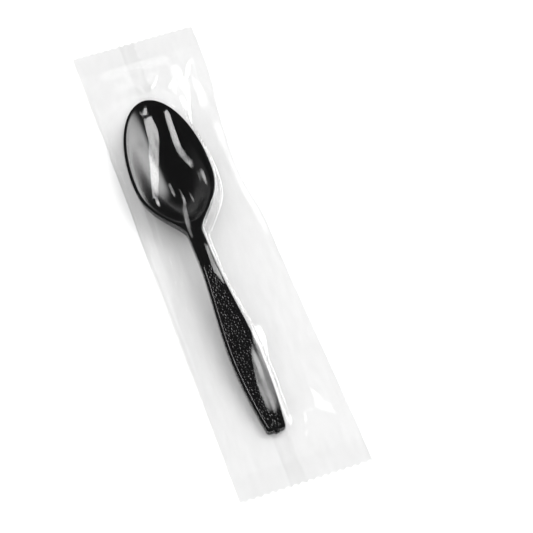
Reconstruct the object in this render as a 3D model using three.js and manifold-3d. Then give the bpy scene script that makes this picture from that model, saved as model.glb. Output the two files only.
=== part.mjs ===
// A cutlery pack: one moulded plastic teaspoon sealed in a clear film sachet.
// Millimetres. X runs across the pack, Y along it with the bowl at +Y, and Z up from the surface it lies on.
// The origin is under the middle of the film, on that surface.
import * as THREE from 'three';
import { mergeVertices } from 'three/addons/utils/BufferGeometryUtils.js';
import Module from 'manifold-3d';

const wasm = await Module();
wasm.setup();

// Film: one sheet folded into a sleeve, with a seam along its back and crimped ends
const FILM_LENGTH = 203; // over the tips of the cut teeth
const FILM_WIDTH = 50; // of the sleeve lying flat
const FILM_THICKNESS = 0.08;
const LAYER_GAP = 0.06; // hairline between layers
const END_SEAL = 10; // depth of each crimped end
const SEAM_WIDTH = 6; // back seam, folded flat towards -X
const SEAM_X = 0.5; // where the back seam stands on the back
const SEAM_STEP = 1.5; // run of the back's step down from the seam
const TOOTH_PITCH = 2.8;
const TOOTH_DEPTH = 0.7;

// Spoon: distances along it are from the tip of the bowl
const SPOON_LENGTH = 146;
const BOWL_LENGTH = 62.5; // to where its shoulders run into the neck
const BOWL_WIDTH = 30.8;
const BOWL_WIDEST = 34;
const BOWL_DEPTH = 7.6;
const HOLLOW_END = 58;
const SHOULDER_START = 2.8; // power of the shoulders' curve where they leave the bowl
const SHOULDER_SWEEP = 1.7; // power of their curve into the neck
const BOWL_WALL = 1.5; // at the bottom of the bowl
const BOWL_ROUND = 2.2; // power of the bowl's section, 2 being a parabola
const RIM_WIDTH = 1.1;
const RIM_HEIGHT = 1; // of the bowl's outer edge
const NECK_WIDTH = 5.8;
const NECK_PLACE = 73;
const NECK_RISE = 0.4; // of the neck's top over the bowl's rim
const HANDLE_WIDTH = 11.4;
const HANDLE_WIDEST = 117.5;
const HANDLE_HEIGHT = 3.4; // side wall at the neck
const HANDLE_DROOP = 1.3; // power of the handle's fall towards its end, 1 being straight
const HANDLE_TAPER = 1.8; // power of the handle's narrowing towards its end
const END_WIDTH = 7;
const END_HEIGHT = 2.7;
const END_CORNER = 1;
const PANEL_START = 77.3; // recessed panel on the handle's top
const PANEL_FRAME = 1;
const PANEL_DEPTH = 0.4;
const PANEL_CORNER = 1.2;
const CHANNEL_START = 82; // hollow underside of the handle
const CHANNEL_WALL = 1.3;
const CHANNEL_ROOF = 1.7;
const GATE_WIDTH = 1.6; // broken gate nub at the handle's end
const GATE_LENGTH = 0.8;
const GATE_HEIGHT = 1.1;

// The spoon in the film
const TIP_TO_CUT = 35.2; // from the bowl's tip to the film's cut end
const SPOON_X = -6; // of the spoon's axis at the bowl's widest place
const SPOON_BOW = 2.6; // how far the moulding bows towards +X at the handle's end
const REST_GAP = 0.25; // between the spoon and the film under it
const COVER = 0.7; // clearance of the film over and round the spoon
const SIDE_DRIFT = 0.4; // share of its narrowing by which the sleeve shifts towards the spoon
const SIDE_LEAST = 2; // between the spoon's cover and the sleeve's side folds
const LENGTH_PULL = 3; // the film's pull along the pack, against its pull across

// Steps of the lofts
const BOWL_STEPS = 10;
const HANDLE_STEP = 5;
const CORNER_STEPS = 3;
const ACROSS_STEPS = 10;
const SIDE_STEPS = 6;
const OPEN_STEPS = 6;
const GRID = 2; // of the heights that the film's front is drawn tight on
const RELAX_SWEEPS = 600;
const TOUCH = 1e-6;
const TIP_SLICE = 0.15; // distance of the first section from the tip
const TRIM = 2; // length of film beyond the cut ends, before they are cut
const FOLD_FADE = 0.25; // share of a fold's length over which each of its ends dies away

// Heights of the film's layers at the middle of their thickness, and what they carry
const level = (count) => FILM_THICKNESS / 2 + count * (FILM_THICKNESS + LAYER_GAP);
const FRONT_FLAT = level(3);
const SPOON_BASE = level(2) + FILM_THICKNESS / 2 + REST_GAP;
const RIM_TOP = SPOON_BASE + BOWL_WALL + BOWL_DEPTH;
const NECK_TOP = RIM_TOP + NECK_RISE;
const END_TOP = SPOON_BASE + END_HEIGHT;
const CUT_Y = FILM_LENGTH / 2;
const SEAL_Y = CUT_Y - END_SEAL;
const TIP_Y = CUT_Y - TIP_TO_CUT;
const END_Y = TIP_Y - SPOON_LENGTH;

const { lerp, smoothstep, clamp } = THREE.MathUtils;
const between = (a, b, count) => Array.from({ length: count + 1 }, (_, i) => lerp(a, b, i / count));
const quarterTurn = (count) => between(0, Math.PI / 2, count);

// The spoon's axis across the pack, at a distance from the tip
const spoonX = (d) => SPOON_X + SPOON_BOW * ((d - BOWL_WIDEST) / (SPOON_LENGTH - BOWL_WIDEST)) ** 2;

// Main folds of the film's front, each a ridge between two points on the pack
const TIP_X = spoonX(0);
const END_X = spoonX(SPOON_LENGTH);
const FOLDS = [
  { from: [TIP_X, TIP_Y], to: [TIP_X - 4, SEAL_Y], rise: 1, reach: 4 },
  { from: [TIP_X, TIP_Y], to: [TIP_X + 10, SEAL_Y], rise: 1.2, reach: 4 },
  { from: [TIP_X + 9, TIP_Y - 6], to: [TIP_X + 24, SEAL_Y], rise: 1.2, reach: 4.5 },
  { from: [TIP_X - 9, TIP_Y - 6], to: [TIP_X - 16, SEAL_Y], rise: 1, reach: 4 },
  { from: [TIP_X + 17, TIP_Y - 20], to: [END_X + 13, END_Y + 40], rise: 0.9, reach: 4 },
  { from: [TIP_X - 12, TIP_Y - BOWL_LENGTH], to: [END_X - 15, END_Y + 40], rise: 0.9, reach: 4 },
  { from: [END_X + 5, END_Y], to: [END_X + 8, -SEAL_Y], rise: 0.8, reach: 4 },
  { from: [END_X - 5, END_Y], to: [END_X - 12, -SEAL_Y], rise: 0.8, reach: 4 },
];

// How far a rounded corner draws in an edge, at a distance from where the edge ends
function cornerCut(radius, distance) {
  const into = clamp(radius - distance, 0, radius);
  return radius - Math.sqrt(radius ** 2 - into ** 2);
}

// Share of the way from the bowl's widest place to its tip or to a place behind it, for an outline
// grown by a margin
function bowlAway(d, behind, grow = 0) {
  const reach = d < BOWL_WIDEST ? BOWL_WIDEST : behind - BOWL_WIDEST;
  return Math.min(1, Math.abs(d - BOWL_WIDEST) / (reach + grow));
}

// Half the handle's plan width, running on under the bowl at the neck's width
function handleHalf(d) {
  if (d < HANDLE_WIDEST) {
    return lerp(NECK_WIDTH, HANDLE_WIDTH, smoothstep(d, NECK_PLACE, HANDLE_WIDEST)) / 2;
  }
  const run = Math.min(1, (d - HANDLE_WIDEST) / (SPOON_LENGTH - HANDLE_WIDEST));
  return lerp(HANDLE_WIDTH, END_WIDTH, run ** HANDLE_TAPER) / 2;
}

// Half the spoon's plan width, for its outline grown by a margin all round
function spoonHalf(d, grow = 0) {
  if (d < BOWL_WIDEST) {
    return (BOWL_WIDTH / 2 + grow) * Math.sqrt(1 - bowlAway(d, BOWL_LENGTH, grow) ** 2);
  }
  const shoulder = (1 - bowlAway(d, BOWL_LENGTH) ** SHOULDER_START) ** SHOULDER_SWEEP;
  const corner = cornerCut(END_CORNER + grow, SPOON_LENGTH + grow - d);
  return lerp(handleHalf(d), BOWL_WIDTH / 2, shoulder) + grow - corner;
}

// Share of the handle's run from the neck to its end
const handleRun = (d) => clamp((d - NECK_PLACE) / (SPOON_LENGTH - NECK_PLACE), 0, 1);

// Height of the spoon's rim and of the handle's top
function spoonTop(d) {
  if (d < NECK_PLACE) {
    return lerp(RIM_TOP, NECK_TOP, smoothstep(d, BOWL_WIDEST, NECK_PLACE));
  }
  return lerp(NECK_TOP, END_TOP, handleRun(d) ** HANDLE_DROOP);
}

// Height of the spoon's outer edge, from the bowl's rim to the handle's side wall
function sideHeight(d) {
  const wall = lerp(HANDLE_HEIGHT, END_HEIGHT, handleRun(d));
  return lerp(RIM_HEIGHT, wall, smoothstep(d, BOWL_WIDEST, BOWL_LENGTH));
}

// Distances from the tip at which the spoon's outline, grown by a margin, needs a section
function spoonPlaces(grow) {
  const front = quarterTurn(BOWL_STEPS).map((a) => BOWL_WIDEST - (BOWL_WIDEST + grow) * Math.cos(a));
  const rear = between(BOWL_WIDEST, BOWL_LENGTH, BOWL_STEPS);
  const straight = SPOON_LENGTH - END_CORNER;
  const handle = between(BOWL_LENGTH, straight, Math.ceil((straight - BOWL_LENGTH) / HANDLE_STEP));
  const corner = quarterTurn(CORNER_STEPS).map((a) => straight + (END_CORNER + grow) * Math.sin(a));
  return [...front, ...rear.slice(1), ...handle.slice(1), ...corner.slice(1)];
}

// A closed body through sections along +Y, each with an upper and a lower line of as many points
function loft(sections) {
  const count = sections[0].upper.length;
  const ring = 2 * count;
  const points = [];
  const faces = [];
  const quad = (a, b, c, d) => faces.push(a, b, c, a, c, d);
  for (const { y, upper, lower } of sections) {
    for (const [x, z] of [...upper, ...lower.toReversed()]) {
      points.push(x, y, z);
    }
  }
  // Both lines are split along the same diagonals, so that the two faces of a thin sheet keep apart
  for (let s = 0; s + 1 < sections.length; s += 1) {
    for (let i = 0; i < ring; i += 1) {
      const a = s * ring + i;
      const b = s * ring + ((i + 1) % ring);
      if (i < count) {
        quad(a, b, b + ring, a + ring);
      } else {
        quad(b, b + ring, a + ring, a);
      }
    }
  }
  const last = (sections.length - 1) * ring;
  for (let i = 0; i + 1 < count; i += 1) {
    quad(i, ring - 1 - i, ring - 2 - i, i + 1);
    quad(last + i, last + i + 1, last + ring - 2 - i, last + ring - 1 - i);
  }
  const geometry = new THREE.BufferGeometry();
  geometry.setAttribute('position', new THREE.Float32BufferAttribute(points, 3));
  geometry.setIndex(faces);
  return geometry;
}

// A closed geometry as a solid that can be joined and cut
function solidOf(geometry) {
  const bare = geometry.clone();
  bare.deleteAttribute('normal');
  bare.deleteAttribute('uv');
  const merged = mergeVertices(bare);
  const vertProperties = new Float32Array(merged.attributes.position.array);
  const triVerts = new Uint32Array(merged.index.array);
  return new wasm.Manifold(new wasm.Mesh({ numProp: 3, vertProperties, triVerts }));
}

function geometryOf(solid) {
  const { vertProperties, triVerts } = solid.getMesh();
  const geometry = new THREE.BufferGeometry();
  geometry.setAttribute('position', new THREE.Float32BufferAttribute(vertProperties, 3));
  geometry.setIndex(Array.from(triVerts));
  geometry.computeVertexNormals();
  return geometry;
}

// One section of the spoon: a flat rim round the dished bowl above, the outer bowl or handle below
function spoonSection(d) {
  const half = spoonHalf(d);
  const inner = half - Math.min(RIM_WIDTH, half / 2);
  const hollow = BOWL_DEPTH * (1 - bowlAway(d, HOLLOW_END, -RIM_WIDTH) ** BOWL_ROUND);
  const keel = (BOWL_DEPTH + BOWL_WALL - RIM_HEIGHT) * (1 - bowlAway(d, BOWL_LENGTH) ** BOWL_ROUND);
  const curve = (u) => 1 - Math.abs(u) ** BOWL_ROUND;
  const across = between(-1, 1, ACROSS_STEPS);
  const dish = across.map((u) => [u * inner, spoonTop(d) - hollow * curve(u)]);
  const under = across.map((u) => [u * inner, -keel * curve((u * inner) / half)]);
  const edged = [[-half, 0], ...under, [half, 0]];
  const foot = spoonTop(d) - sideHeight(d);
  return {
    y: TIP_Y - d,
    upper: [[-half, spoonTop(d)], ...dish, [half, spoonTop(d)]].map(([x, z]) => [spoonX(d) + x, z]),
    lower: edged.map(([x, z]) => [spoonX(d) + x, foot + z]),
  };
}

// A cutter along the handle, set in from its sides and its end, from one height over its top to another
function handleCutter(start, frame, corner, high, low) {
  const end = SPOON_LENGTH - frame;
  const turn = quarterTurn(CORNER_STEPS).map((a) => corner * (1 - Math.cos(a)));
  const run = between(start + corner, end - corner, Math.ceil((end - start) / HANDLE_STEP));
  const first = turn.map((t) => start + t);
  const last = turn.toReversed().map((t) => end - t);
  const places = [...first, ...run.slice(1, -1), ...last];
  const sections = places.map((d) => {
    const half = handleHalf(d) - frame - cornerCut(corner, Math.min(d - start, end - d));
    const line = (z) => [
      [spoonX(d) - half, z],
      [spoonX(d) + half, z],
    ];
    return { y: TIP_Y - d, upper: line(spoonTop(d) + high), lower: line(spoonTop(d) + low) };
  });
  return solidOf(loft(sections.toReversed()));
}

function makeSpoon() {
  const places = spoonPlaces(0).map((d) => Math.max(d, TIP_SLICE));
  const body = solidOf(loft(places.map(spoonSection).toReversed()));
  const panel = handleCutter(PANEL_START, PANEL_FRAME, PANEL_CORNER, HANDLE_HEIGHT, -PANEL_DEPTH);
  const channel = handleCutter(
    CHANNEL_START, CHANNEL_WALL, PANEL_CORNER, -CHANNEL_ROOF, -CHANNEL_ROOF - HANDLE_HEIGHT,
  );
  const gate = new THREE.BoxGeometry(GATE_WIDTH, 2 * GATE_LENGTH, GATE_HEIGHT);
  gate.translate(END_X, END_Y, SPOON_BASE + END_HEIGHT / 2);
  return geometryOf(body.subtract(panel).subtract(channel).add(solidOf(gate)));
}

// Half the width that the film keeps clear over the spoon, spreading towards the seals beyond its ends
function coverHalf(y) {
  const d = TIP_Y - y;
  const held = Math.max(spoonHalf(clamp(d, -COVER, SPOON_LENGTH), COVER), RIM_WIDTH);
  const beyond = Math.max(-d, d - SPOON_LENGTH) - COVER;
  const open = d < 0 ? SEAL_Y - TIP_Y : END_Y + SEAL_Y;
  return lerp(held, BOWL_WIDTH / 2, clamp(beyond / open, 0, 1));
}

// Height of the film's front along the pack's middle: over the spoon, then down to the seals
function fillHeight(y) {
  const d = TIP_Y - y;
  const open = d < 0 ? SEAL_Y - TIP_Y : END_Y + SEAL_Y;
  const beyond = Math.max(0, -d, d - SPOON_LENGTH);
  return spoonTop(clamp(d, 0, SPOON_LENGTH)) * clamp(1 - beyond / open, 0, 1);
}

// Side folds of the sleeve: its girth is fixed, so it narrows where the spoon lifts its front
function sideFolds(y) {
  const onSpoon = y < TIP_Y && y > END_Y;
  const held = onSpoon ? 2 * coverHalf(y) : 0;
  const narrowing = fillHeight(y) ** 2 / (2 * (FILM_WIDTH - held));
  const drift = 2 * narrowing * SIDE_DRIFT * Math.sign(SPOON_X);
  const left = drift + narrowing - FILM_WIDTH / 2;
  const right = drift - narrowing + FILM_WIDTH / 2;
  const clear = onSpoon ? coverHalf(y) + SIDE_LEAST : 0;
  const middle = spoonX(TIP_Y - y);
  return [Math.min(left, middle - clear), Math.max(right, middle + clear)];
}

// Places across the film's front, close over the spoon and even to the side folds
function frontColumns(y) {
  const [left, right] = sideFolds(y);
  const middle = spoonX(TIP_Y - y);
  const half = coverHalf(y);
  return [
    ...between(left, middle - half, SIDE_STEPS),
    ...between(middle - half, middle + half, ACROSS_STEPS).slice(1),
    ...between(middle + half, right, SIDE_STEPS).slice(1),
  ];
}

// Height that the main folds add at a point of the film's front
function foldRise(x, y) {
  const point = new THREE.Vector3(x, y, 0);
  const near = new THREE.Vector3();
  const rises = FOLDS.map(({ from, to, rise, reach }) => {
    const line = new THREE.Line3(new THREE.Vector3(...from, 0), new THREE.Vector3(...to, 0));
    line.closestPointToPoint(point, true, near);
    const along = line.closestPointToPointParameter(point, true);
    const fade = smoothstep(Math.min(along, 1 - along), 0, FOLD_FADE);
    return rise * fade * Math.max(0, 1 - near.distanceTo(point) / reach);
  });
  return Math.max(...rises);
}

// Least height of the film's front at a point: over the spoon, or flat on the back
function leastHeight(x, y) {
  const d = TIP_Y - y;
  const onSpoon = d >= -COVER && d <= SPOON_LENGTH + COVER;
  const overSpoon = onSpoon && Math.abs(x - spoonX(d)) <= spoonHalf(d, COVER) + TOUCH;
  return overSpoon ? spoonTop(clamp(d, 0, SPOON_LENGTH)) + COVER : FRONT_FLAT;
}

// The film's front drawn tight over the spoon between its side folds and seals, as a grid of heights
function tautFront() {
  const wide = Math.round(FILM_WIDTH / GRID);
  const long = Math.round(FILM_LENGTH / GRID);
  const xs = between(-FILM_WIDTH / 2, FILM_WIDTH / 2, wide);
  const ys = between(-CUT_Y, CUT_Y, long);
  const least = ys.map((y) => xs.map((x) => leastHeight(x, y)));
  const free = ys.map((y) => {
    const [left, right] = sideFolds(y);
    return xs.map((x) => Math.abs(y) < SEAL_Y && x > left && x < right);
  });
  const z = least.map((row) => [...row]);
  for (let sweep = 0; sweep < RELAX_SWEEPS; sweep += 1) {
    for (let j = 1; j < long; j += 1) {
      for (let i = 1; i < wide; i += 1) {
        const pull = z[j][i - 1] + z[j][i + 1] + LENGTH_PULL * (z[j - 1][i] + z[j + 1][i]);
        const taut = pull / (2 + 2 * LENGTH_PULL);
        z[j][i] = free[j][i] ? Math.max(least[j][i], taut) : FRONT_FLAT;
      }
    }
  }
  return (x, y) => {
    const column = clamp((x / FILM_WIDTH + 0.5) * wide, 0, wide);
    const row = clamp((y / FILM_LENGTH + 0.5) * long, 0, long);
    const i = Math.min(Math.floor(column), wide - 1);
    const j = Math.min(Math.floor(row), long - 1);
    const near = lerp(z[j][i], z[j][i + 1], column - i);
    const far = lerp(z[j + 1][i], z[j + 1][i + 1], column - i);
    return Math.max(lerp(near, far, row - j), leastHeight(x, y));
  };
}

// Both faces of a sheet whose middle runs along a line of points
function thicken(line) {
  const normals = line.slice(1).map(([x, z], i) => {
    const run = new THREE.Vector2(x - line[i][0], z - line[i][1]).normalize();
    return new THREE.Vector2(-run.y, run.x);
  });
  const faceAt = (side) => ([x, z], i) => {
    const before = normals[Math.max(i - 1, 0)];
    const after = normals[Math.min(i, normals.length - 1)];
    const mitre = (side * FILM_THICKNESS) / 2 / (1 + before.dot(after));
    return [x + mitre * (before.x + after.x), z + mitre * (before.y + after.y)];
  };
  return { upper: line.map(faceAt(1)), lower: line.map(faceAt(-1)) };
}

// One section of the sleeve: seam layer, left back, left fold, front, right fold, right back, seam layer
function filmSection(y, taut) {
  const [left, right] = sideFolds(y);
  const seamEdge = SEAM_X - SEAM_WIDTH;
  const columns = frontColumns(y);
  const loose = Math.abs(y) < SEAL_Y;
  const front = columns.map((x, i) => {
    const inside = loose && i > 0 && i + 1 < columns.length;
    return [x, inside ? taut(x, y) + foldRise(x, y) : FRONT_FLAT];
  });
  const line = [
    [seamEdge, level(1)],
    [SEAM_X, level(1)],
    [SEAM_X, level(2)],
    [seamEdge, level(2)],
    [seamEdge - SEAM_STEP, level(0)],
    [left, level(0)],
    ...front,
    [right, level(0)],
    [seamEdge, level(0)],
  ];
  return { y, ...thicken(line) };
}

// Outline of the cut film, with zigzag ends
function cutOutline() {
  const teeth = 2 * Math.ceil(FILM_WIDTH / TOOTH_PITCH);
  const edge = Array.from({ length: teeth + 1 }, (_, i) => [
    (i - teeth / 2) * (TOOTH_PITCH / 2),
    CUT_Y - (i % 2) * TOOTH_DEPTH,
  ]);
  const points = [...edge, ...edge.toReversed().map(([x, y]) => [x, -y])];
  return new THREE.Shape(points.map(([x, y]) => new THREE.Vector2(x, y)));
}

function makeFilm() {
  const places = spoonPlaces(COVER).map((d) => TIP_Y - d).toReversed();
  const low = between(-SEAL_Y, places[0], OPEN_STEPS).slice(0, -1);
  const high = between(places.at(-1), SEAL_Y, OPEN_STEPS).slice(1);
  const ys = [-CUT_Y - TRIM, ...low, ...places, ...high, CUT_Y + TRIM];
  const taut = tautFront();
  const sleeve = loft(ys.map((y) => filmSection(y, taut)));
  const depth = 4 * RIM_TOP;
  const trimmed = new THREE.ExtrudeGeometry(cutOutline(), { depth, bevelEnabled: false });
  trimmed.translate(0, 0, -depth / 2);
  return geometryOf(solidOf(sleeve).intersect(solidOf(trimmed)));
}

const blackPlastic = new THREE.MeshStandardMaterial({ color: 0x141414, roughness: 0.3, metalness: 0 });
const clearFilm = new THREE.MeshStandardMaterial({
  color: 0xf4f4f4, roughness: 0.08, metalness: 0, transparent: true, opacity: 0.2,
});

const pack = new THREE.Group();
for (const [name, geometry, material] of [
  ['spoon', makeSpoon(), blackPlastic],
  ['film_wrapper', makeFilm(), clearFilm],
]) {
  const mesh = new THREE.Mesh(geometry, material);
  mesh.name = name;
  pack.add(mesh);
}

export default pack;
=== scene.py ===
# A black plastic teaspoon in a clear film sachet, lying on a pale floor.
# Sizes are in millimetres until a mesh is made, in the part's frame: X across, Y to the bowl, Z up.
import math

import bpy
import numpy as np
from mathutils import Matrix, Vector, noise


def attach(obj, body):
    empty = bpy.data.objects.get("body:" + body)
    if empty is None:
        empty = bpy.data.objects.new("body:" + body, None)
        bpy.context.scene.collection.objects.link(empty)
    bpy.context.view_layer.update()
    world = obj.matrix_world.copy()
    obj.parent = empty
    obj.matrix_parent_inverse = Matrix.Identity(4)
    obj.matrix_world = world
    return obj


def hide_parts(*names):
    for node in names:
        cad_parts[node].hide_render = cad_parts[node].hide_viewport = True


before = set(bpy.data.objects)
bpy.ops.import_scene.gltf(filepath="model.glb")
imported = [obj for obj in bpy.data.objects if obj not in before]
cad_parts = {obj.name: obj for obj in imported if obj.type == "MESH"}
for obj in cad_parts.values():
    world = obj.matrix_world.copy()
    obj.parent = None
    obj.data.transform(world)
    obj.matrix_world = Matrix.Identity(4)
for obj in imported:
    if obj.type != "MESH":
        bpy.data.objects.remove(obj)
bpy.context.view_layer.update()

MM = 0.001

# Film, as in the part
FILM_LENGTH = 203.0
FILM_WIDTH = 50.0
FILM_THICKNESS = 0.08
LAYER_GAP = 0.06
END_SEAL = 10.0
SEAM_WIDTH = 6.0
SEAM_X = 0.5
SEAM_STEP = 1.5
TOOTH_PITCH = 2.8

# Spoon, as in the part, with distances from the tip of the bowl
SPOON_LENGTH = 146.0
BOWL_LENGTH = 62.5
BOWL_WIDTH = 30.8
BOWL_WIDEST = 34.0
BOWL_DEPTH = 7.6
HOLLOW_END = 58.0
SHOULDER_START = 2.8
SHOULDER_SWEEP = 1.7
BOWL_WALL = 1.5
BOWL_ROUND = 2.2
RIM_WIDTH = 1.1
RIM_HEIGHT = 1.0
NECK_WIDTH = 5.8
NECK_PLACE = 73.0
NECK_RISE = 0.4
HANDLE_WIDTH = 11.4
HANDLE_WIDEST = 117.5
HANDLE_HEIGHT = 3.4
HANDLE_DROOP = 1.3
HANDLE_TAPER = 1.8
END_WIDTH = 7.0
END_HEIGHT = 2.7
END_CORNER = 1.0
PANEL_START = 77.3
PANEL_FRAME = 1.0
PANEL_DEPTH = 0.4
PANEL_CORNER = 1.2
CHANNEL_START = 82.0
CHANNEL_WALL = 1.3
CHANNEL_ROOF = 1.7
GATE_WIDTH = 1.6
GATE_LENGTH = 0.8
GATE_HEIGHT = 1.1

# The spoon in the film, as in the part
TIP_TO_CUT = 35.2
SPOON_X = -6.0
SPOON_BOW = 2.6
REST_GAP = 0.25
COVER = 0.7
SIDE_DRIFT = 0.4
SIDE_LEAST = 2.0
LENGTH_PULL = 3.0

LEVEL = [FILM_THICKNESS / 2 + n * (FILM_THICKNESS + LAYER_GAP) for n in range(4)]
FRONT_FLAT = LEVEL[3]
SPOON_BASE = LEVEL[2] + FILM_THICKNESS / 2 + REST_GAP
RIM_TOP = SPOON_BASE + BOWL_WALL + BOWL_DEPTH
NECK_TOP = RIM_TOP + NECK_RISE
END_TOP = SPOON_BASE + END_HEIGHT
CUT_Y = FILM_LENGTH / 2
SEAL_Y = CUT_Y - END_SEAL
TIP_Y = CUT_Y - TIP_TO_CUT
END_Y = TIP_Y - SPOON_LENGTH


def lerp(a, b, t):
    return a + (b - a) * t


def smooth(x, a, b):
    t = np.clip((np.asarray(x, float) - a) / (b - a), 0, 1)
    return t * t * (3 - 2 * t)


# Form of the spoon
def spoon_x(d):
    return SPOON_X + SPOON_BOW * ((d - BOWL_WIDEST) / (SPOON_LENGTH - BOWL_WIDEST)) ** 2


def bowl_away(d, behind, grow=0.0):
    reach = np.where(d < BOWL_WIDEST, BOWL_WIDEST, behind - BOWL_WIDEST)
    return np.minimum(1, np.abs(d - BOWL_WIDEST) / (reach + grow))


def handle_half(d):
    swell = lerp(NECK_WIDTH, HANDLE_WIDTH, smooth(d, NECK_PLACE, HANDLE_WIDEST)) / 2
    run = np.clip((d - HANDLE_WIDEST) / (SPOON_LENGTH - HANDLE_WIDEST), 0, 1)
    return np.where(d < HANDLE_WIDEST, swell, lerp(HANDLE_WIDTH, END_WIDTH, run**HANDLE_TAPER) / 2)


def corner_cut(radius, distance):
    into = np.clip(radius - distance, 0, radius)
    return radius - np.sqrt(radius**2 - into**2)


def spoon_half(d, grow=0.0):
    d = np.asarray(d, float)
    front = (BOWL_WIDTH / 2 + grow) * np.sqrt(np.maximum(0, 1 - bowl_away(d, BOWL_LENGTH, grow) ** 2))
    shoulder = (1 - bowl_away(d, BOWL_LENGTH) ** SHOULDER_START) ** SHOULDER_SWEEP
    corner = corner_cut(END_CORNER + grow, SPOON_LENGTH + grow - d)
    rear = lerp(handle_half(d), BOWL_WIDTH / 2, shoulder) + grow - corner
    return np.where(d < BOWL_WIDEST, front, rear)


def handle_run(d):
    return np.clip((d - NECK_PLACE) / (SPOON_LENGTH - NECK_PLACE), 0, 1)


def spoon_top(d):
    d = np.asarray(d, float)
    bowl = lerp(RIM_TOP, NECK_TOP, smooth(d, BOWL_WIDEST, NECK_PLACE))
    return np.where(d < NECK_PLACE, bowl, lerp(NECK_TOP, END_TOP, handle_run(d) ** HANDLE_DROOP))


def side_height(d):
    wall = lerp(HANDLE_HEIGHT, END_HEIGHT, handle_run(d))
    return lerp(RIM_HEIGHT, wall, smooth(d, BOWL_WIDEST, BOWL_LENGTH))


def inside_handle(x, d, start, frame_width, corner):
    """Distance inside a round-cornered outline set in from the handle's sides, from start to its end."""
    a = handle_half(d) - frame_width - np.abs(x)
    b = np.minimum(d - start, SPOON_LENGTH - frame_width - d)
    near_corner = (a < corner) & (b < corner)
    round_in = corner - np.hypot(np.maximum(corner - a, 0), np.maximum(corner - b, 0))
    return np.where(near_corner, round_in, np.minimum(a, b))


def new_mesh(name, points, faces, material, smooth_shade=True):
    mesh = bpy.data.meshes.new(name)
    mesh.from_pydata((np.asarray(points) * MM).tolist(), [], faces)
    mesh.validate()
    mesh.update()
    obj = bpy.data.objects.new(name, mesh)
    bpy.context.scene.collection.objects.link(obj)
    mesh.materials.append(material)
    mesh.polygons.foreach_set("use_smooth", [smooth_shade] * len(mesh.polygons))
    return obj


# Materials
def node_material(name):
    material = bpy.data.materials.new(name)
    material.use_nodes = True
    tree = material.node_tree
    tree.nodes.clear()
    return material, tree


def add(tree, kind, **settings):
    node = tree.nodes.new(kind)
    for key, value in settings.items():
        if key in node.inputs:
            node.inputs[key].default_value = value
        else:
            setattr(node, key, value)
    return node


def black_plastic():
    material, tree = node_material("black_plastic_moulded")
    link = tree.links.new
    out = add(tree, "ShaderNodeOutputMaterial")
    shader = add(tree, "ShaderNodeBsdfPrincipled")
    shader.inputs["Base Color"].default_value = (0.004, 0.004, 0.0042, 1)
    shader.inputs["IOR"].default_value = 1.5
    where = add(tree, "ShaderNodeTexCoord")
    flow = add(tree, "ShaderNodeTexNoise", Scale=220.0, Detail=4.0, Roughness=0.6)
    gloss = add(tree, "ShaderNodeMapRange")
    gloss.inputs["To Min"].default_value = 0.12
    gloss.inputs["To Max"].default_value = 0.20
    skin = add(tree, "ShaderNodeTexNoise", Scale=2600.0, Detail=2.0)
    bump = add(tree, "ShaderNodeBump", Strength=0.12, Distance=0.00004)
    link(where.outputs["Object"], flow.inputs["Vector"])
    link(where.outputs["Object"], skin.inputs["Vector"])
    link(flow.outputs["Fac"], gloss.inputs["Value"])
    link(gloss.outputs["Result"], shader.inputs["Roughness"])
    link(skin.outputs["Fac"], bump.inputs["Height"])
    link(bump.outputs["Normal"], shader.inputs["Normal"])
    link(shader.outputs["BSDF"], out.inputs["Surface"])
    return material


def clear_film(name, mirror, dark, light):
    """Film that mirrors this share face on, and lets through between the dark and the light share."""
    material, tree = node_material(name)
    link = tree.links.new
    out = add(tree, "ShaderNodeOutputMaterial")
    clear = add(tree, "ShaderNodeBsdfTransparent")
    gloss = add(tree, "ShaderNodeBsdfGlossy", Roughness=0.07)
    mix = add(tree, "ShaderNodeMixShader")
    facing = add(tree, "ShaderNodeLayerWeight", Blend=0.5)
    steep = add(tree, "ShaderNodeMath", operation="POWER")
    steep.inputs[1].default_value = 4.0
    share = add(tree, "ShaderNodeMapRange")
    share.inputs["To Min"].default_value = mirror
    share.inputs["To Max"].default_value = 0.9
    where = add(tree, "ShaderNodeTexCoord")
    stretch = add(tree, "ShaderNodeMapping")
    stretch.inputs["Scale"].default_value = (1.0, 0.25, 1.0)
    # Streaky see-through tint drawn out along the pack: partly the film's own thickness lines, partly
    # painted shade of fine wrinkles
    thickness_and_wrinkle_shade = add(tree, "ShaderNodeTexNoise", Scale=420.0, Detail=3.0)
    tint = add(tree, "ShaderNodeMapRange")
    tint.inputs["From Min"].default_value = 0.3
    tint.inputs["From Max"].default_value = 0.7
    tint.inputs["To Min"].default_value = dark
    tint.inputs["To Max"].default_value = light
    ripple = add(tree, "ShaderNodeTexNoise", Scale=300.0, Detail=2.0)
    bump = add(tree, "ShaderNodeBump", Strength=0.25, Distance=0.0001)
    link(where.outputs["Object"], stretch.inputs["Vector"])
    link(stretch.outputs["Vector"], thickness_and_wrinkle_shade.inputs["Vector"])
    link(stretch.outputs["Vector"], ripple.inputs["Vector"])
    link(thickness_and_wrinkle_shade.outputs["Fac"], tint.inputs["Value"])
    link(tint.outputs["Result"], clear.inputs["Color"])
    link(ripple.outputs["Fac"], bump.inputs["Height"])
    link(bump.outputs["Normal"], gloss.inputs["Normal"])
    link(facing.outputs["Facing"], steep.inputs[0])
    link(steep.outputs["Value"], share.inputs["Value"])
    link(share.outputs["Result"], mix.inputs["Fac"])
    link(clear.outputs["BSDF"], mix.inputs[1])
    link(gloss.outputs["BSDF"], mix.inputs[2])
    link(mix.outputs["Shader"], out.inputs["Surface"])
    return material


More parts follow.
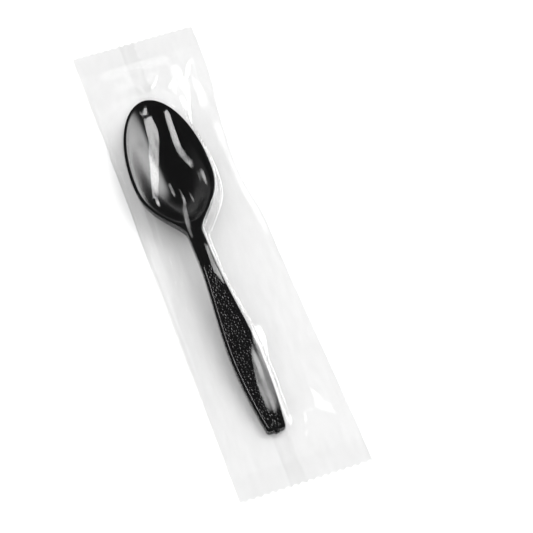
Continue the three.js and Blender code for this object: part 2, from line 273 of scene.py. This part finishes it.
def pale_floor():
    material, tree = node_material("pale_floor")
    link = tree.links.new
    out = add(tree, "ShaderNodeOutputMaterial")
    shader = add(tree, "ShaderNodeBsdfDiffuse", Roughness=0.3)
    where = add(tree, "ShaderNodeTexCoord")
    cloud = add(tree, "ShaderNodeTexNoise", Scale=8.0)
    tone = add(tree, "ShaderNodeMapRange")
    tone.inputs["To Min"].default_value = 0.86
    tone.inputs["To Max"].default_value = 0.88
    link(where.outputs["Object"], cloud.inputs["Vector"])
    link(cloud.outputs["Fac"], tone.inputs["Value"])
    link(tone.outputs["Result"], shader.inputs["Color"])
    link(shader.outputs["BSDF"], out.inputs["Surface"])
    return material


# Spoon
EDGE_ROUND = 0.25
GRAIN_SIZE = 1.0
GRAIN_HEIGHT = 0.125
PANEL_STEP = 0.14
PANEL_EDGE = (-0.06, 0.2)  # where the panel's step starts and ends, inside its outline
PEBBLE_EDGE = (0.15, 0.6)  # where the grain fades in
CHANNEL_EDGE = (-0.1, 0.3)
DISH_EASE = 1.3
ACROSS = 64
UNDER = 28
BOWL_ROWS = 60
END_ROWS = 12
# Places across, set in from the side, that follow the rounded edge and the rim
EDGE_IN = np.array([0.0, 0.02, 0.07, 0.14, 0.25, 0.45, 0.7, 0.85, 0.93, 1.0, 1.07, 1.14, 1.22, 1.32, 1.5])


def grain(x, y):
    """Height of the pebbled grain at each point: rounded cells parted by narrow grooves."""
    out = np.empty(x.size)
    for i, (a, b) in enumerate(zip(x.ravel() / GRAIN_SIZE, y.ravel() / GRAIN_SIZE)):
        wander = 0.35 * noise.noise(Vector((a * 0.7, b * 0.7, 7.0)))
        near = noise.voronoi(Vector((a + wander, b - wander, 0.5)))[0]
        out[i] = near[1] - near[0]
    return smooth(out, 0.0, 0.5).reshape(x.shape)


def spoon_upper(x, d):
    """Height of the spoon's top at a distance across from its axis and along from its tip."""
    half = spoon_half(d)
    inner = np.maximum(half - np.minimum(RIM_WIDTH, half / 2), 1e-3)
    hollow = BOWL_DEPTH * (1 - bowl_away(d, HOLLOW_END, -RIM_WIDTH * (d < BOWL_WIDEST)) ** BOWL_ROUND)
    dish = hollow * np.clip(1 - (x / inner) ** 2, 0, 1) ** DISH_EASE
    panel = smooth(inside_handle(x, d, PANEL_START, PANEL_FRAME, PANEL_CORNER), *PANEL_EDGE)
    edge = corner_cut(EDGE_ROUND, np.minimum(half - np.abs(x), SPOON_LENGTH - d))
    return spoon_top(d) - dish - PANEL_DEPTH * panel - edge


def spoon_lower(x, d):
    """Height of the spoon's underside at the same kind of place."""
    half = spoon_half(d)
    keel = (BOWL_DEPTH + BOWL_WALL - RIM_HEIGHT) * (1 - bowl_away(d, BOWL_LENGTH) ** BOWL_ROUND)
    under = keel * (1 - np.minimum(1, np.abs(x) / half) ** BOWL_ROUND)
    channel = smooth(inside_handle(x, d, CHANNEL_START, CHANNEL_WALL, PANEL_CORNER), *CHANNEL_EDGE)
    hollow = np.maximum(0, side_height(d) - CHANNEL_ROOF)
    return spoon_top(d) - side_height(d) - under + hollow * channel


def gate_nub(first):
    """The broken gate at the handle's end: its corners, and its faces counted from the first corner."""
    points = []
    for y in (END_Y + GATE_LENGTH / 2, END_Y - GATE_LENGTH):
        for side, up in ((-1, -1), (1, -1), (1, 1), (-1, 1)):
            x = float(spoon_x(SPOON_LENGTH)) + side * GATE_WIDTH / 2
            points.append((x, y, SPOON_BASE + END_HEIGHT / 2 + up * GATE_HEIGHT / 2))
    box = ((0, 1, 2, 3), (7, 6, 5, 4), (0, 4, 5, 1), (1, 5, 6, 2), (2, 6, 7, 3), (3, 7, 4, 0))
    return np.array(points), [tuple(first + n for n in corners) for corners in box]


def make_spoon(material):
    front = BOWL_WIDEST * (1 - np.cos(np.linspace(0.06, math.pi / 2, BOWL_ROWS)))
    rear = np.linspace(BOWL_WIDEST, PANEL_START - 0.6, BOWL_ROWS)[1:]
    panel_rows = int((SPOON_LENGTH - PANEL_START) / PANEL_STEP)
    panel = np.linspace(PANEL_START - 0.4, SPOON_LENGTH - END_CORNER, panel_rows)
    end = SPOON_LENGTH - END_CORNER + END_CORNER * np.sin(np.linspace(0, math.pi / 2, END_ROWS))[1:]
    rows = np.concatenate([front, rear, panel, end])
    points = []
    for d in rows:
        half = float(spoon_half(d))
        set_in = np.minimum(EDGE_IN, half * EDGE_IN / 2.2)
        core = np.linspace(-(half - set_in[-1]), half - set_in[-1], ACROSS)
        x = np.concatenate([-(half - set_in), core[1:-1], (half - set_in)[::-1]])
        dd = np.full_like(x, d)
        z = spoon_upper(x, dd)
        pebbled = smooth(inside_handle(x, dd, PANEL_START, PANEL_FRAME, PANEL_CORNER), *PEBBLE_EDGE)
        if pebbled.max() > 0:
            z = z + GRAIN_HEIGHT * pebbled * (grain(x, dd) - 0.4)
        xl = np.linspace(half, -half, UNDER)
        zl = spoon_lower(xl, np.full_like(xl, d))
        ring_x = np.concatenate([x, xl]) + float(spoon_x(d))
        ring_z = np.concatenate([z, zl])
        points.append(np.stack([ring_x, np.full_like(ring_x, TIP_Y - d), ring_z], -1))
    count = len(points[0])
    total = len(points)
    faces = []
    for r in range(total - 1):
        for i in range(count):
            n = (i + 1) % count
            faces.append((r * count + i, (r + 1) * count + i, (r + 1) * count + n, r * count + n))
    faces.append(tuple(range(count)))
    faces.append(tuple(range(total * count - 1, (total - 1) * count - 1, -1)))
    nub_points, nub_faces = gate_nub(total * count)
    points.append(nub_points)
    faces.extend(nub_faces)
    return new_mesh("spoon_moulding", np.concatenate(points), faces, material)


# Film: heights of its front drawn tight over the spoon
def cover_half(y):
    """Half the width that the spoon holds up at a place along the pack."""
    d = TIP_Y - y
    held = np.maximum(spoon_half(np.clip(d, -COVER, SPOON_LENGTH), COVER), RIM_WIDTH)
    beyond = np.maximum(-d, d - SPOON_LENGTH) - COVER
    room = np.where(d < 0, SEAL_Y - TIP_Y, END_Y + SEAL_Y)
    return lerp(held, BOWL_WIDTH / 2, np.clip(beyond / room, 0, 1))


def fill_height(y):
    """Height to which the pack is filled at a place along it."""
    d = TIP_Y - y
    room = np.where(d < 0, SEAL_Y - TIP_Y, END_Y + SEAL_Y)
    beyond = np.maximum(0, np.maximum(-d, d - SPOON_LENGTH))
    return spoon_top(np.clip(d, 0, SPOON_LENGTH)) * np.clip(1 - beyond / room, 0, 1)


def side_folds(y):
    """Places of the film's left and right folds, drawn in where the spoon lifts it."""
    on_spoon = (y < TIP_Y) & (y > END_Y)
    held = np.where(on_spoon, 2 * cover_half(y), 0)
    narrowing = fill_height(y) ** 2 / (2 * (FILM_WIDTH - held))
    drift = 2 * narrowing * SIDE_DRIFT * math.copysign(1, SPOON_X)
    clear = np.where(on_spoon, cover_half(y) + SIDE_LEAST, 0)
    middle = spoon_x(TIP_Y - y)
    left = np.minimum(drift + narrowing - FILM_WIDTH / 2, middle - clear)
    right = np.maximum(drift - narrowing + FILM_WIDTH / 2, middle + clear)
    return left, right


def least_height(x, y, cover):
    """Least height of a tight film at each point: over the spoon's rim and flat elsewhere."""
    d = TIP_Y - y
    on_spoon = (d >= -cover) & (d <= SPOON_LENGTH + cover)
    over = on_spoon & (np.abs(x - spoon_x(d)) <= spoon_half(d, cover))
    return np.where(over, spoon_top(np.clip(d, 0, SPOON_LENGTH)) + cover, FRONT_FLAT)


def spoon_skin(x, y, cover):
    """Least height of a loose film at each point: the spoon's own top, its hollow included."""
    d = np.clip(TIP_Y - y, 0, SPOON_LENGTH)
    half = spoon_half(d)
    top = spoon_upper(np.clip(x - spoon_x(d), -half, half), d) + cover
    return np.where(least_height(x, y, cover) > FRONT_FLAT, top, FRONT_FLAT)


GRID = 0.5
GRID_X = np.arange(-32, 32, GRID)
GRID_Y = np.arange(-128, 128, GRID)


def taut_front():
    """Heights of the front on the grid, relaxed from coarse to fine."""
    z = None
    for step, sweeps in ((4, 500), (2, 300), (1, 160)):
        xs, ys = np.meshgrid(GRID_X[::step], GRID_Y[::step])
        least = least_height(xs, ys, COVER)
        left, right = side_folds(ys)
        free = (np.abs(ys) < SEAL_Y) & (xs > left) & (xs < right)
        if z is None:
            z = least.copy()
        else:
            z = np.repeat(np.repeat(z, 2, 0), 2, 1)[: least.shape[0], : least.shape[1]]
        for _ in range(sweeps):
            pull = np.roll(z, 1, 1) + np.roll(z, -1, 1)
            pull = pull + LENGTH_PULL * (np.roll(z, 1, 0) + np.roll(z, -1, 0))
            z = np.where(free, np.maximum(least, pull / (2 + 2 * LENGTH_PULL)), FRONT_FLAT)
    return z


def sample(field, x, y):
    """A grid's values at points between its places."""
    i = np.clip((x - GRID_X[0]) / GRID, 0, len(GRID_X) - 1.001)
    j = np.clip((y - GRID_Y[0]) / GRID, 0, len(GRID_Y) - 1.001)
    i0, j0 = i.astype(int), j.astype(int)
    a, b = i - i0, j - j0
    low = field[j0, i0] * (1 - a) + field[j0, i0 + 1] * a
    high = field[j0 + 1, i0] * (1 - a) + field[j0 + 1, i0 + 1] * a
    return low * (1 - b) + high * b


# Creases: each is a facet of the film that leans by a slope across and a slope along
def strip(places, soft=0.5):
    """Mask of a band along a line of places (x, y, half width)."""
    xs, ys = np.meshgrid(GRID_X, GRID_Y)
    best = np.full(xs.shape, -1e9)
    for (x0, y0, w0), (x1, y1, w1) in zip(places, places[1:]):
        run = np.hypot(x1 - x0, y1 - y0)
        t = np.clip(((xs - x0) * (x1 - x0) + (ys - y0) * (y1 - y0)) / run**2, 0, 1)
        off = np.hypot(xs - x0 - t * (x1 - x0), ys - y0 - t * (y1 - y0))
        best = np.maximum(best, lerp(w0, w1, t) - off)
    return smooth(best, -soft, soft)


def patch(corners, soft=0.6):
    """Mask of a facet with these corners, taken in turn."""
    xs, ys = np.meshgrid(GRID_X, GRID_Y)
    inside = np.zeros(xs.shape, bool)
    off = np.full(xs.shape, 1e9)
    for (x0, y0), (x1, y1) in zip(corners, corners[1:] + corners[:1]):
        run = (x1 - x0) ** 2 + (y1 - y0) ** 2
        t = np.clip(((xs - x0) * (x1 - x0) + (ys - y0) * (y1 - y0)) / run, 0, 1)
        off = np.minimum(off, np.hypot(xs - x0 - t * (x1 - x0), ys - y0 - t * (y1 - y0)))
        crosses = (y0 > ys) != (y1 > ys)
        at = x0 + (ys - y0) * (x1 - x0) / (y1 - y0 if y1 != y0 else 1e-9)
        inside ^= crosses & (xs < at)
    return smooth(np.where(inside, off, -off), -soft, soft)


# Each crease is its mask and how far it leans to the light
LEAN = (-0.42, 0.18)
CREASES = [
    # Broad fold over the bowl, its pointed top and its tail to the film's left edge
    (strip([(-6.8, 60.2, 1.4), (-7.1, 56, 2.2), (-7.0, 51.5, 2.7), (-8.0, 46.5, 2.5), (-9.5, 41.5, 2.2),
            (-11.2, 36.5, 2.0), (-12.5, 31.5, 1.8), (-14.0, 26.5, 1.7), (-15.2, 21.5, 1.5)]), 1.25),
    (strip([(-7.0, 59.5, 1.3), (-7.2, 56, 1.9), (-7.2, 50, 2.3)]), 1.6),
    (patch([(-10.6, 64.0), (-5.0, 58.5), (-8.8, 57.0)], 0.4), 1.7),
    (strip([(-17.0, 15, 0.6), (-17.3, 3, 0.6), (-18.6, -12, 0.7), (-20.4, -17, 0.5)]), 3.0),
    (strip([(-14.6, 13, 0.4), (-15.6, 2, 0.4), (-17.0, -10, 0.4)]), 3.0),
    (strip([(-20.6, 22, 0.5), (-19.6, 11, 0.6)]), 3.2),
    (strip([(-20.2, 9, 0.4), (-19.8, 0, 0.5)]), 3.0),
    # Narrow fold to its right, turning at the foot
    (strip([(0.8, 57, 1.3), (0.3, 51.5, 1.5), (-0.2, 41.5, 1.5), (0.5, 36.5, 1.7), (2.6, 32.5, 1.6)]), 1.45),
    (strip([(2.6, 31.5, 0.8), (6.4, 33.4, 0.7)]), 1.0),
    # Loose facets at the back of the bowl and on the neck
    (patch([(0.5, 19.0), (5.6, 20), (6.4, 29.0), (3.0, 28.5)], 1.2), 0.9),
    (strip([(-8.6, 26.0, 0.9), (-8.2, 20.5, 1.2)], 0.9), 1.4),
    (strip([(-5.6, 23.0, 0.8), (-5.2, 17.5, 1.0)], 0.9), 1.3),
    (strip([(-2.6, 21.5, 0.8), (-2.2, 16.5, 0.9)], 0.9), 1.25),
    (strip([(-6.5, 14.5, 1.3), (-7.5, 5, 1.3), (-7.9, 1, 1.0)]), 0.8),
    (patch([(-5.0, -2), (-2.6, -3), (-2.4, -24), (-5.4, -16)], 0.9), 1.0),
    # Veil over the end of the handle
    (patch([(0.4, -42), (3, -48), (2.6, -62), (1.4, -76), (-6.2, -76.5), (-6.0, -62),
            (-4.2, -50)], 1.2), 0.95),
    (patch([(0.9, -43), (3, -48), (2.6, -62), (1.2, -75), (-5.6, -76), (-5.2, -62), (-3.3, -51)]), 1.3),
    # Facets beside the handle and round the ends
    (patch([(2.2, -38), (5.8, -38), (6, -51), (3.4, -52)]), 1.2),
    (strip([(0.5, 82, 0.5), (2.0, 86.5, 0.6)]), 1.3),
    (strip([(4.5, 82.5, 0.6), (6.5, 87, 0.6)]), 1.3),
    (strip([(15.0, 77, 0.5), (18.0, 83, 0.6)]), 1.1),
    (strip([(13, 79, 0.5), (10, 75, 0.5), (6, 71, 0.4)]), 1.0),
    (strip([(11, 87.5, 0.5), (18, 87.5, 0.5)]), 1.3),
    (patch([(-21.5, 84.5), (-19, 84.5), (-19.5, 87), (-21.5, 87)]), 1.2),
    (strip([(-4, 70, 0.6), (-7, 79, 0.9), (-9, 87, 0.9)]), 1.3),
    (strip([(-1, 71, 0.6), (4, 79, 0.8)]), 1.3),
    (patch([(13, -62), (17, -62), (16.5, -75), (13, -74)], 1.6), 0.7),
    (strip([(8, -79, 0.5), (4, -89, 0.5)]), 1.4),
]
# Small crumples, each a place and its reach
CRUMPLES = [(-15.6, 20.0, 2.4), (-7.2, 59.0, 1.8), (-0.6, 58.5, 2.2), (-16.5, 16.0, 1.6), (2.2, 60.5, 1.2)]
CREASE_REACH = 9.0
FACETS = 150
FACET_LEAN = 0.075
FACET_STRETCH = 2.2
KINKS = 700
KINK_LEAN = 0.55
STREAK = 0.12
STREAK_WIDE = 2
STREAK_LONG = 16


def sample_streak(values, x, y):
    """Values drawn out along the pack, for the fine lines within a fold."""
    i = (x - GRID_X[0]) / (STREAK_WIDE * GRID)
    j = (y - GRID_Y[0]) / (STREAK_LONG * GRID)
    i0, j0 = i.astype(int), j.astype(int)
    a, b = i - i0, j - j0
    low = values[j0, i0] * (1 - a) + values[j0, i0 + 1] * a
    high = values[j0 + 1, i0] * (1 - a) + values[j0 + 1, i0 + 1] * a
    return low * (1 - b) + high * b


def crease_heights(rng):
    """Heights that give the film its leaning facets, blended into the sheet around them."""
    xs, ys = np.meshgrid(GRID_X, GRID_Y)
    gx = np.zeros(xs.shape)
    gy = np.zeros(xs.shape)
    crumple_x = np.zeros(xs.shape)
    crumple_y = np.zeros(xs.shape)
    seeds = rng.uniform((-27, -100), (27, 100), (FACETS, 2))
    leans = rng.normal(0, FACET_LEAN, (FACETS, 2))
    far = (xs[..., None] - seeds[:, 0]) ** 2 + ((ys[..., None] - seeds[:, 1]) / FACET_STRETCH) ** 2
    cell = far.argmin(-1)
    gx += leans[cell, 0]
    gy += leans[cell, 1] * 0.6
    small = rng.uniform((-20, 10), (8, 66), (KINKS, 2))
    kinks = rng.normal(0, KINK_LEAN, (KINKS, 2))
    for x, y, reach in CRUMPLES:
        rows = (GRID_Y > y - 4) & (GRID_Y < y + 4)
        away = (xs[rows][..., None] - small[:, 0]) ** 2 + (ys[rows][..., None] - small[:, 1]) ** 2
        kink = kinks[away.argmin(-1)]
        here = smooth(reach - np.hypot(xs[rows] - x, ys[rows] - y), -0.4, 0.8)
        crumple_x[rows] += here * kink[..., 0]
        crumple_y[rows] += here * kink[..., 1]
    streak = rng.normal(0, 1, (len(GRID_Y) // STREAK_LONG + 2, len(GRID_X) // STREAK_WIDE + 2))
    streak = sample_streak(streak, xs, ys)
    for mask, amount in CREASES:
        amount = amount * (1 + STREAK * streak)
        gx = gx * (1 - mask) + mask * amount * LEAN[0]
        gy = gy * (1 - mask) + mask * amount * LEAN[1]
    gx = gx + crumple_x
    gy = gy + crumple_y
    kx = 2 * math.pi * np.fft.fftfreq(len(GRID_X), GRID)
    ky = 2 * math.pi * np.fft.fftfreq(len(GRID_Y), GRID)
    kx, ky = np.meshgrid(kx, ky)
    spread = -(1j * kx * np.fft.fft2(gx) + 1j * ky * np.fft.fft2(gy)) / (kx**2 + ky**2 + CREASE_REACH**-2)
    return np.fft.ifft2(spread).real


CUT_DEPTH = 1.1  # deeper than the 0.7 of the part, so that the teeth read at this picture size


def cut_line(x):
    """Where the film is cut at a place across its end."""
    phase = np.abs(((x / TOOTH_PITCH) + 0.5) % 1 - 0.5) * 2
    return CUT_Y - CUT_DEPTH * phase


# How the film hangs: some slack over the spoon, and a steep fall beside it on the right
FILM_CLEAR = 0.3
SLACK = 0.5
HANDLE_SLACK = 1.3
TIP_SLACK = 0.7
DROP_WIDTH = 2.0
DROP_SHARE = 0.88
TIP_HOLD = 13.5
TIP_REACH = 25.0
TIP_DROP_WIDTH = 7.0
TIP_DROP_SHARE = 0.45
LEFT_RISE = 2.5
# How finely the sheet is meshed
FRONT_STEP = TOOTH_PITCH / 6
FRONT_COLUMNS = 53  # on each side of the middle
BACK_STEP = TOOTH_PITCH / 4
BACK_LEFT_COLUMNS = 26
BACK_RIGHT_COLUMNS = 44
BODY_ROWS = 236
SEAL_ROWS = 8
SEAM_EDGE = SEAM_X - SEAM_WIDTH


def across(a, b, step):
    return np.linspace(a, b, max(2, int(round(abs(b - a) / step)) + 1))


def level_line(x, z):
    return np.stack([x, np.full(len(x), z)], -1)


def kept_height(x, y, left, right):
    """Share of its tight height that the film keeps at each place across."""
    middle = float(spoon_x(TIP_Y - y))
    held = float(cover_half(np.array(y)))
    if y > TIP_Y - TIP_REACH:
        held = max(held, TIP_HOLD)
    room = max(right - middle - held, 1)
    past_tip = float(smooth(y, TIP_Y - 14, TIP_Y + 8))
    width = min(0.7 * room, lerp(DROP_WIDTH, TIP_DROP_WIDTH, past_tip))
    drop = 1 - lerp(DROP_SHARE, TIP_DROP_SHARE, past_tip) * smooth(x - middle - held, 0, width)
    right_share = lerp(drop, 1.0, smooth(END_Y - y, -14, 2))
    return np.where(x > middle, right_share, smooth(x - left, 0.0, LEFT_RISE))


def front_heights(x, y, left, right, taut, extra):
    """Heights of the front along one line across the film."""
    ends = SEAL_Y - abs(y)
    if ends <= 0:
        return np.full_like(x, FRONT_FLAT)
    yy = np.full_like(x, y)
    rim = np.minimum(x - left, right - x)
    over_handle = smooth(-y, 30, 50) * (1 - smooth(-y, 74, 84))
    slack = SLACK + HANDLE_SLACK * over_handle + TIP_SLACK * smooth(y, 66, 76)
    loose = slack * smooth(rim, 0, 14) * smooth(ends, 0, 8)
    z = FRONT_FLAT + kept_height(x, y, left, right) * (sample(taut, x, yy) - FRONT_FLAT + loose)
    z = z + smooth(rim, 0, 5) * smooth(ends, 0, 8) * sample(extra, x, yy)
    return np.maximum(z, spoon_skin(x, yy, FILM_CLEAR))


def sheet_line(y, front, taut, extra):
    """One line of the sheet from its inner edge in the seam, round the front and back to the seam."""
    left, right = (float(v) for v in side_folds(np.array(y)))
    x = lerp(left, right, (front + FILM_WIDTH / 2) / FILM_WIDTH)
    side_z = (LEVEL[0] + FRONT_FLAT) / 2
    line = np.concatenate([
        level_line(across(SEAM_EDGE, SEAM_X, BACK_STEP), LEVEL[1]),
        np.array([[SEAM_X + 0.06, (LEVEL[1] + LEVEL[2]) / 2]]),
        level_line(across(SEAM_X, SEAM_EDGE, BACK_STEP), LEVEL[2]),
        level_line(np.linspace(SEAM_EDGE - SEAM_STEP, left, BACK_LEFT_COLUMNS), LEVEL[0]),
        np.array([[left - 0.1, side_z]]),
        np.stack([x, front_heights(x, y, left, right, taut, extra)], -1),
        np.array([[right + 0.1, side_z]]),
        level_line(np.linspace(right, SEAM_EDGE, BACK_RIGHT_COLUMNS), LEVEL[0]),
    ])
    ys = np.full(len(line), y)
    if abs(y) > SEAL_Y:
        share = (abs(y) - SEAL_Y) / END_SEAL
        ys = math.copysign(1, y) * (SEAL_Y + share * (cut_line(line[:, 0]) - SEAL_Y))
    return np.stack([line[:, 0], ys, line[:, 1]], -1)


def make_film(material, fused, crimped):
    rng = np.random.default_rng(5)
    taut = taut_front()
    extra = crease_heights(rng)
    body = np.linspace(-SEAL_Y, SEAL_Y, BODY_ROWS)
    seal = np.linspace(SEAL_Y, CUT_Y, SEAL_ROWS)[1:]
    rows = np.concatenate([-seal[::-1], body, seal])
    steps = np.arange(-FRONT_COLUMNS, FRONT_COLUMNS + 1) * FRONT_STEP
    front = np.concatenate([[-FILM_WIDTH / 2], steps, [FILM_WIDTH / 2]])
    points = [sheet_line(y, front, taut, extra) for y in rows]
    count = len(points[0])
    seam_faces = 2 * len(across(SEAM_EDGE, SEAM_X, BACK_STEP))  # its layers are sealed together
    faces = []
    slots = []
    for r in range(len(rows) - 1):
        sealed = min(abs(rows[r]), abs(rows[r + 1])) >= SEAL_Y - 0.01
        for i in range(count - 1):
            a = r * count + i
            faces.append((a, a + 1, a + count + 1, a + count))
            slots.append(1 if i < seam_faces else 2 if sealed else 0)
    film = new_mesh("film_sheet", np.concatenate(points), faces, material)
    film.data.materials.append(fused)
    film.data.materials.append(crimped)
    film.data.polygons.foreach_set("material_index", slots)
    return film


# Pieces
spoon = make_spoon(black_plastic())
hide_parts("spoon")
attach(spoon, "root")
film = make_film(
    clear_film("clear_film_sheet", mirror=0.055, dark=0.94, light=0.96),
    clear_film("clear_film_fused", mirror=0.006, dark=0.99, light=0.999),
    clear_film("clear_film_crimped", mirror=0.05, dark=0.93, light=0.945),
)
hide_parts("film_wrapper")
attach(film, "root")

# Floor
FLOOR_HALF = 2500.0
FLOOR_Z = -0.02
floor = new_mesh(
    "floor",
    [(x * FLOOR_HALF, y * FLOOR_HALF, FLOOR_Z) for x, y in ((-1, -1), (1, -1), (1, 1), (-1, 1))],
    [(0, 1, 2, 3)],
    pale_floor(),
    False,
)

# Camera
AZIMUTH = math.radians(-19.574)
ELEVATION = math.radians(60.049)
DISTANCE = 0.75
AIM = Vector((0.016088, -0.01388, 0.0))


def facing_from(place, back):
    """A place, with its Z axis along this direction."""
    return Matrix.Translation(place) @ back.to_track_quat("Z", "Y").to_matrix().to_4x4()


back = Vector((
    math.sin(AZIMUTH) * math.cos(ELEVATION),
    -math.cos(AZIMUTH) * math.cos(ELEVATION),
    math.sin(ELEVATION),
))
camera_data = bpy.data.cameras.new("camera")
camera_data.sensor_width = 36.0
camera_data.lens = 135.73
camera_data.clip_start = 0.01
camera_data.clip_end = 50.0
camera = bpy.data.objects.new("camera", camera_data)
bpy.context.scene.collection.objects.link(camera)
camera.matrix_world = facing_from(AIM + DISTANCE * back, back)
bpy.context.scene.camera = camera


# Light: a softbox at the right that only gloss mirrors, one over it that only lights matt surfaces,
# and a pale surround that gloss hardly sees above the horizon
def softbox(name, direction, distance, wide, high, strength):
    """An area light aimed at the pack, fading towards its sides."""
    light = bpy.data.lights.new(name, "AREA")
    light.shape = "RECTANGLE"
    light.size = wide
    light.size_y = high
    light.energy = 1.0
    light.use_nodes = True
    tree = light.node_tree
    tree.nodes.clear()
    link = tree.links.new
    out = add(tree, "ShaderNodeOutputLight")
    glow = add(tree, "ShaderNodeEmission")
    place = add(tree, "ShaderNodeNewGeometry")
    split = add(tree, "ShaderNodeSeparateXYZ")
    link(place.outputs["Parametric"], split.inputs["Vector"])
    fades = []
    for axis in ("X", "Y"):
        centred = add(tree, "ShaderNodeMath", operation="PINGPONG")
        centred.inputs[1].default_value = 0.5
        fade = add(tree, "ShaderNodeMapRange", interpolation_type="SMOOTHSTEP")
        fade.inputs["From Max"].default_value = 0.35
        link(split.outputs[axis], centred.inputs[0])
        link(centred.outputs["Value"], fade.inputs["Value"])
        fades.append(fade)
    both = add(tree, "ShaderNodeMath", operation="MULTIPLY")
    power = add(tree, "ShaderNodeMath", operation="MULTIPLY")
    power.inputs[1].default_value = strength
    link(fades[0].outputs["Result"], both.inputs[0])
    link(fades[1].outputs["Result"], both.inputs[1])
    link(both.outputs["Value"], power.inputs[0])
    link(power.outputs["Value"], glow.inputs["Strength"])
    link(glow.outputs["Emission"], out.inputs["Surface"])
    obj = bpy.data.objects.new(name, light)
    bpy.context.scene.collection.objects.link(obj)
    towards = Vector(direction).normalized()
    obj.matrix_world = facing_from(towards * distance, towards)
    return obj


gloss_light = softbox("key_softbox", (0.79, 0.35, 0.45), distance=2.0, wide=2.3, high=2.1, strength=165.0)
gloss_light.visible_diffuse = False
fill_light = softbox("fill_softbox", (0.70, 0.18, 0.80), distance=2.0, wide=2.2, high=2.2, strength=60.0)
fill_light.visible_glossy = False

world = bpy.data.worlds.new("studio")
world.use_nodes = True
tree = world.node_tree
tree.nodes.clear()
link = tree.links.new
out = add(tree, "ShaderNodeOutputWorld")
pale = add(tree, "ShaderNodeBackground", Color=(1, 1, 1, 1), Strength=1.25)
dim = add(tree, "ShaderNodeBackground", Color=(1, 1, 1, 1))
direction_of = add(tree, "ShaderNodeTexCoord")
height_of = add(tree, "ShaderNodeSeparateXYZ")
horizon = add(tree, "ShaderNodeMapRange", interpolation_type="SMOOTHSTEP")
horizon.inputs["From Min"].default_value = 0.17
horizon.inputs["From Max"].default_value = 0.42
horizon.inputs["To Min"].default_value = 1.0
horizon.inputs["To Max"].default_value = 0.015
link(direction_of.outputs["Generated"], height_of.inputs["Vector"])
link(height_of.outputs["Z"], horizon.inputs["Value"])
link(horizon.outputs["Result"], dim.inputs["Strength"])
which = add(tree, "ShaderNodeMixShader")
path = add(tree, "ShaderNodeLightPath")
link(path.outputs["Is Glossy Ray"], which.inputs["Fac"])
link(pale.outputs["Background"], which.inputs[1])
link(dim.outputs["Background"], which.inputs[2])
link(which.outputs["Shader"], out.inputs["Surface"])

scene = bpy.context.scene
scene.world = world
scene.view_settings.view_transform = "Standard"
scene.cycles.transparent_max_bounces = 32
